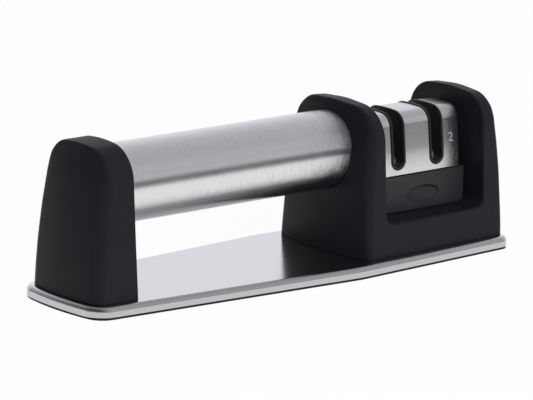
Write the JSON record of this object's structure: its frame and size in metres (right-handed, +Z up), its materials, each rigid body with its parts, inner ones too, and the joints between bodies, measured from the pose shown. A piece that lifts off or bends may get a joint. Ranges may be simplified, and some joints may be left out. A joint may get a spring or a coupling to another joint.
{
  "type": "knife sharpener",
  "caption": "Pull-through knife sharpener: a long steel base, a tube handle between a post and a notched housing, and a lift-out cartridge with a coarse and a fine wheel slot.",
  "frame": {"origin": "middle of the base's plan, at the underside of the rubber pad", "axes": "+X along the handle towards the cartridge, +Z up, the user's side at -Y"},
  "size_m": [0.2024, 0.0642, 0.0628],
  "materials": {
    "pad_rubber": "matte",
    "inner_plastic": "plain moulded",
    "base_steel": "satin polished",
    "soft_touch": "soft touch",
    "tube_steel": "satin, brushed round the tube",
    "cap_steel": "brushed",
    "cartridge_plastic": "fine texture",
    "liner_plastic": "satin",
    "screw_steel": "plated",
    "diamond_steel": "diamond coated",
    "wheel_ceramic": "fine matte",
    "nylon": "plain"
  },
  "bodies": {
    "base": {"base_pad": "pad_rubber", "base_tray": "inner_plastic", "base_cover": "base_steel", "left_post": "soft_touch", "handle_tube": "tube_steel", "cartridge_housing": "soft_touch", "post_screw_front": "screw_steel", "post_screw_back": "screw_steel", "housing_screw_front_left": "screw_steel", "housing_screw_back_left": "screw_steel", "housing_screw_front_right": "screw_steel", "housing_screw_back_right": "screw_steel"},
    "cartridge": {"cartridge_body": "cartridge_plastic", "cartridge_floor": "inner_plastic", "cartridge_cap": "cap_steel", "floor_screw_front": "screw_steel", "floor_screw_back": "screw_steel", "coarse_slot_liner": "liner_plastic", "fine_slot_liner": "liner_plastic"},
    "coarse_roller": {"coarse_axle": "screw_steel", "coarse_wheel_left": "diamond_steel", "coarse_wheel_right": "diamond_steel", "coarse_spacer_left": "nylon", "coarse_spacer_right": "nylon"},
    "fine_roller": {"fine_axle": "screw_steel", "fine_wheel_left": "wheel_ceramic", "fine_wheel_right": "wheel_ceramic", "fine_spacer_left": "nylon", "fine_spacer_right": "nylon"}
  },
  "joints": [
    {"name": "cartridge_lift", "type": "slide", "parent": "base", "child": "cartridge", "axis": [0, 0, 1], "range_m": [0, 0.05]},
    {"name": "coarse_spin", "type": "hinge", "parent": "cartridge", "child": "coarse_roller", "pos_m": [0.0535, 0, 0.0321], "axis": [1, 0, 0], "continuous": true},
    {"name": "fine_spin", "type": "hinge", "parent": "cartridge", "child": "fine_roller", "pos_m": [0.0729, 0, 0.0321], "axis": [1, 0, 0], "continuous": true}
  ]
}
